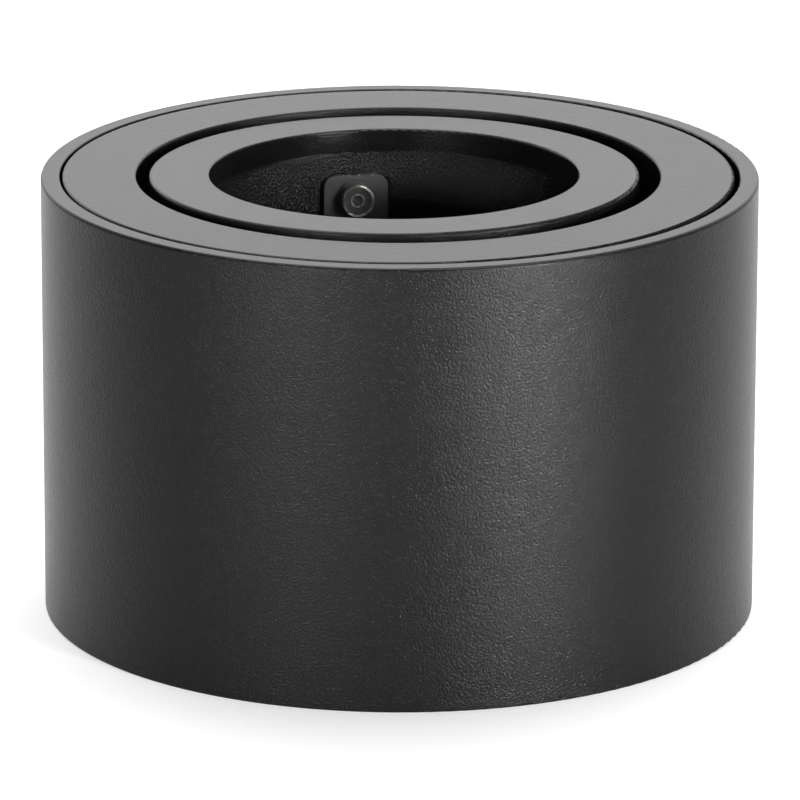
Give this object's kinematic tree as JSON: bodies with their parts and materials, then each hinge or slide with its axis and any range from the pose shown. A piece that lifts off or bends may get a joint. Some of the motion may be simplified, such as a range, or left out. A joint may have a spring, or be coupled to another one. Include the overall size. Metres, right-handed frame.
{
  "type": "surface mounted ceiling spotlight",
  "caption": "Black cylindrical surface-mounted ceiling spotlight with a double gimbal: a thick inner ring with a twist-lock lampholder tilts in a flat outer ring.",
  "frame": {"origin": "centre of the housing's ceiling face, which is z = 0", "axes": "+Z out of the light opening, along the housing's axis; X along the ceiling bracket and its fixing slots; the picture looks along +Y, a little downwards"},
  "size_m": [0.13, 0.13, 0.0816],
  "materials": {
    "black_powder_coat": "matte black fine-texture powder coat on die-cast aluminium",
    "black_sheet_steel": "satin black painted sheet steel",
    "zinc_steel": "bright zinc-plated steel",
    "black_steel": "black-oxide steel",
    "spring_steel": "spring steel",
    "black_nylon": "black nylon",
    "black_rubber": "black rubber",
    "white_plastic": "white polyamide",
    "brass": "bare brass",
    "ceramic": "unglazed steatite"
  },
  "bodies": {
    "fixture": {"housing": "black_powder_coat", "ceiling_bracket": "zinc_steel", "housing_screw_washers": "zinc_steel", "housing_screws": "zinc_steel", "cable_grommet": "black_rubber", "earth_washer": "brass", "earth_screw": "zinc_steel", "terminal_block": "white_plastic", "terminal_barrels": "brass", "terminal_clamp_screws": "zinc_steel", "terminal_block_screws": "zinc_steel", "rear_pivot_bracket": "black_sheet_steel", "front_pivot_bracket": "black_sheet_steel", "pivot_bracket_washers": "zinc_steel", "pivot_bracket_screws": "zinc_steel", "outer_pivot_washers": "black_nylon"},
    "outer_gimbal": {"outer_ring": "black_powder_coat", "outer_pivot_screws": "black_steel", "inner_pivot_screws": "black_steel", "inner_pivot_spacers": "black_nylon", "inner_pivot_spring_washers": "spring_steel"},
    "inner_gimbal": {"inner_ring": "black_powder_coat", "lamp_strap": "black_sheet_steel", "strap_screw_washers": "black_steel", "strap_screws": "black_steel", "strap_nuts": "zinc_steel", "lampholder_base": "ceramic", "lampholder_body": "ceramic", "lampholder_contacts": "brass", "lampholder_screws": "zinc_steel"}
  },
  "joints": [
    {"name": "outer_tilt", "type": "hinge", "parent": "fixture", "child": "outer_gimbal", "pos_m": [-0.00028, 0, 0.073], "axis": [-0.1822, 0.9833, 0], "range_deg": [-30, 30]},
    {"name": "inner_tilt", "type": "hinge", "parent": "outer_gimbal", "child": "inner_gimbal", "pos_m": [-0.00028, 0, 0.0685], "axis": [0.9833, 0.1822, 0], "range_deg": [-29.15, 30.85]}
  ]
}
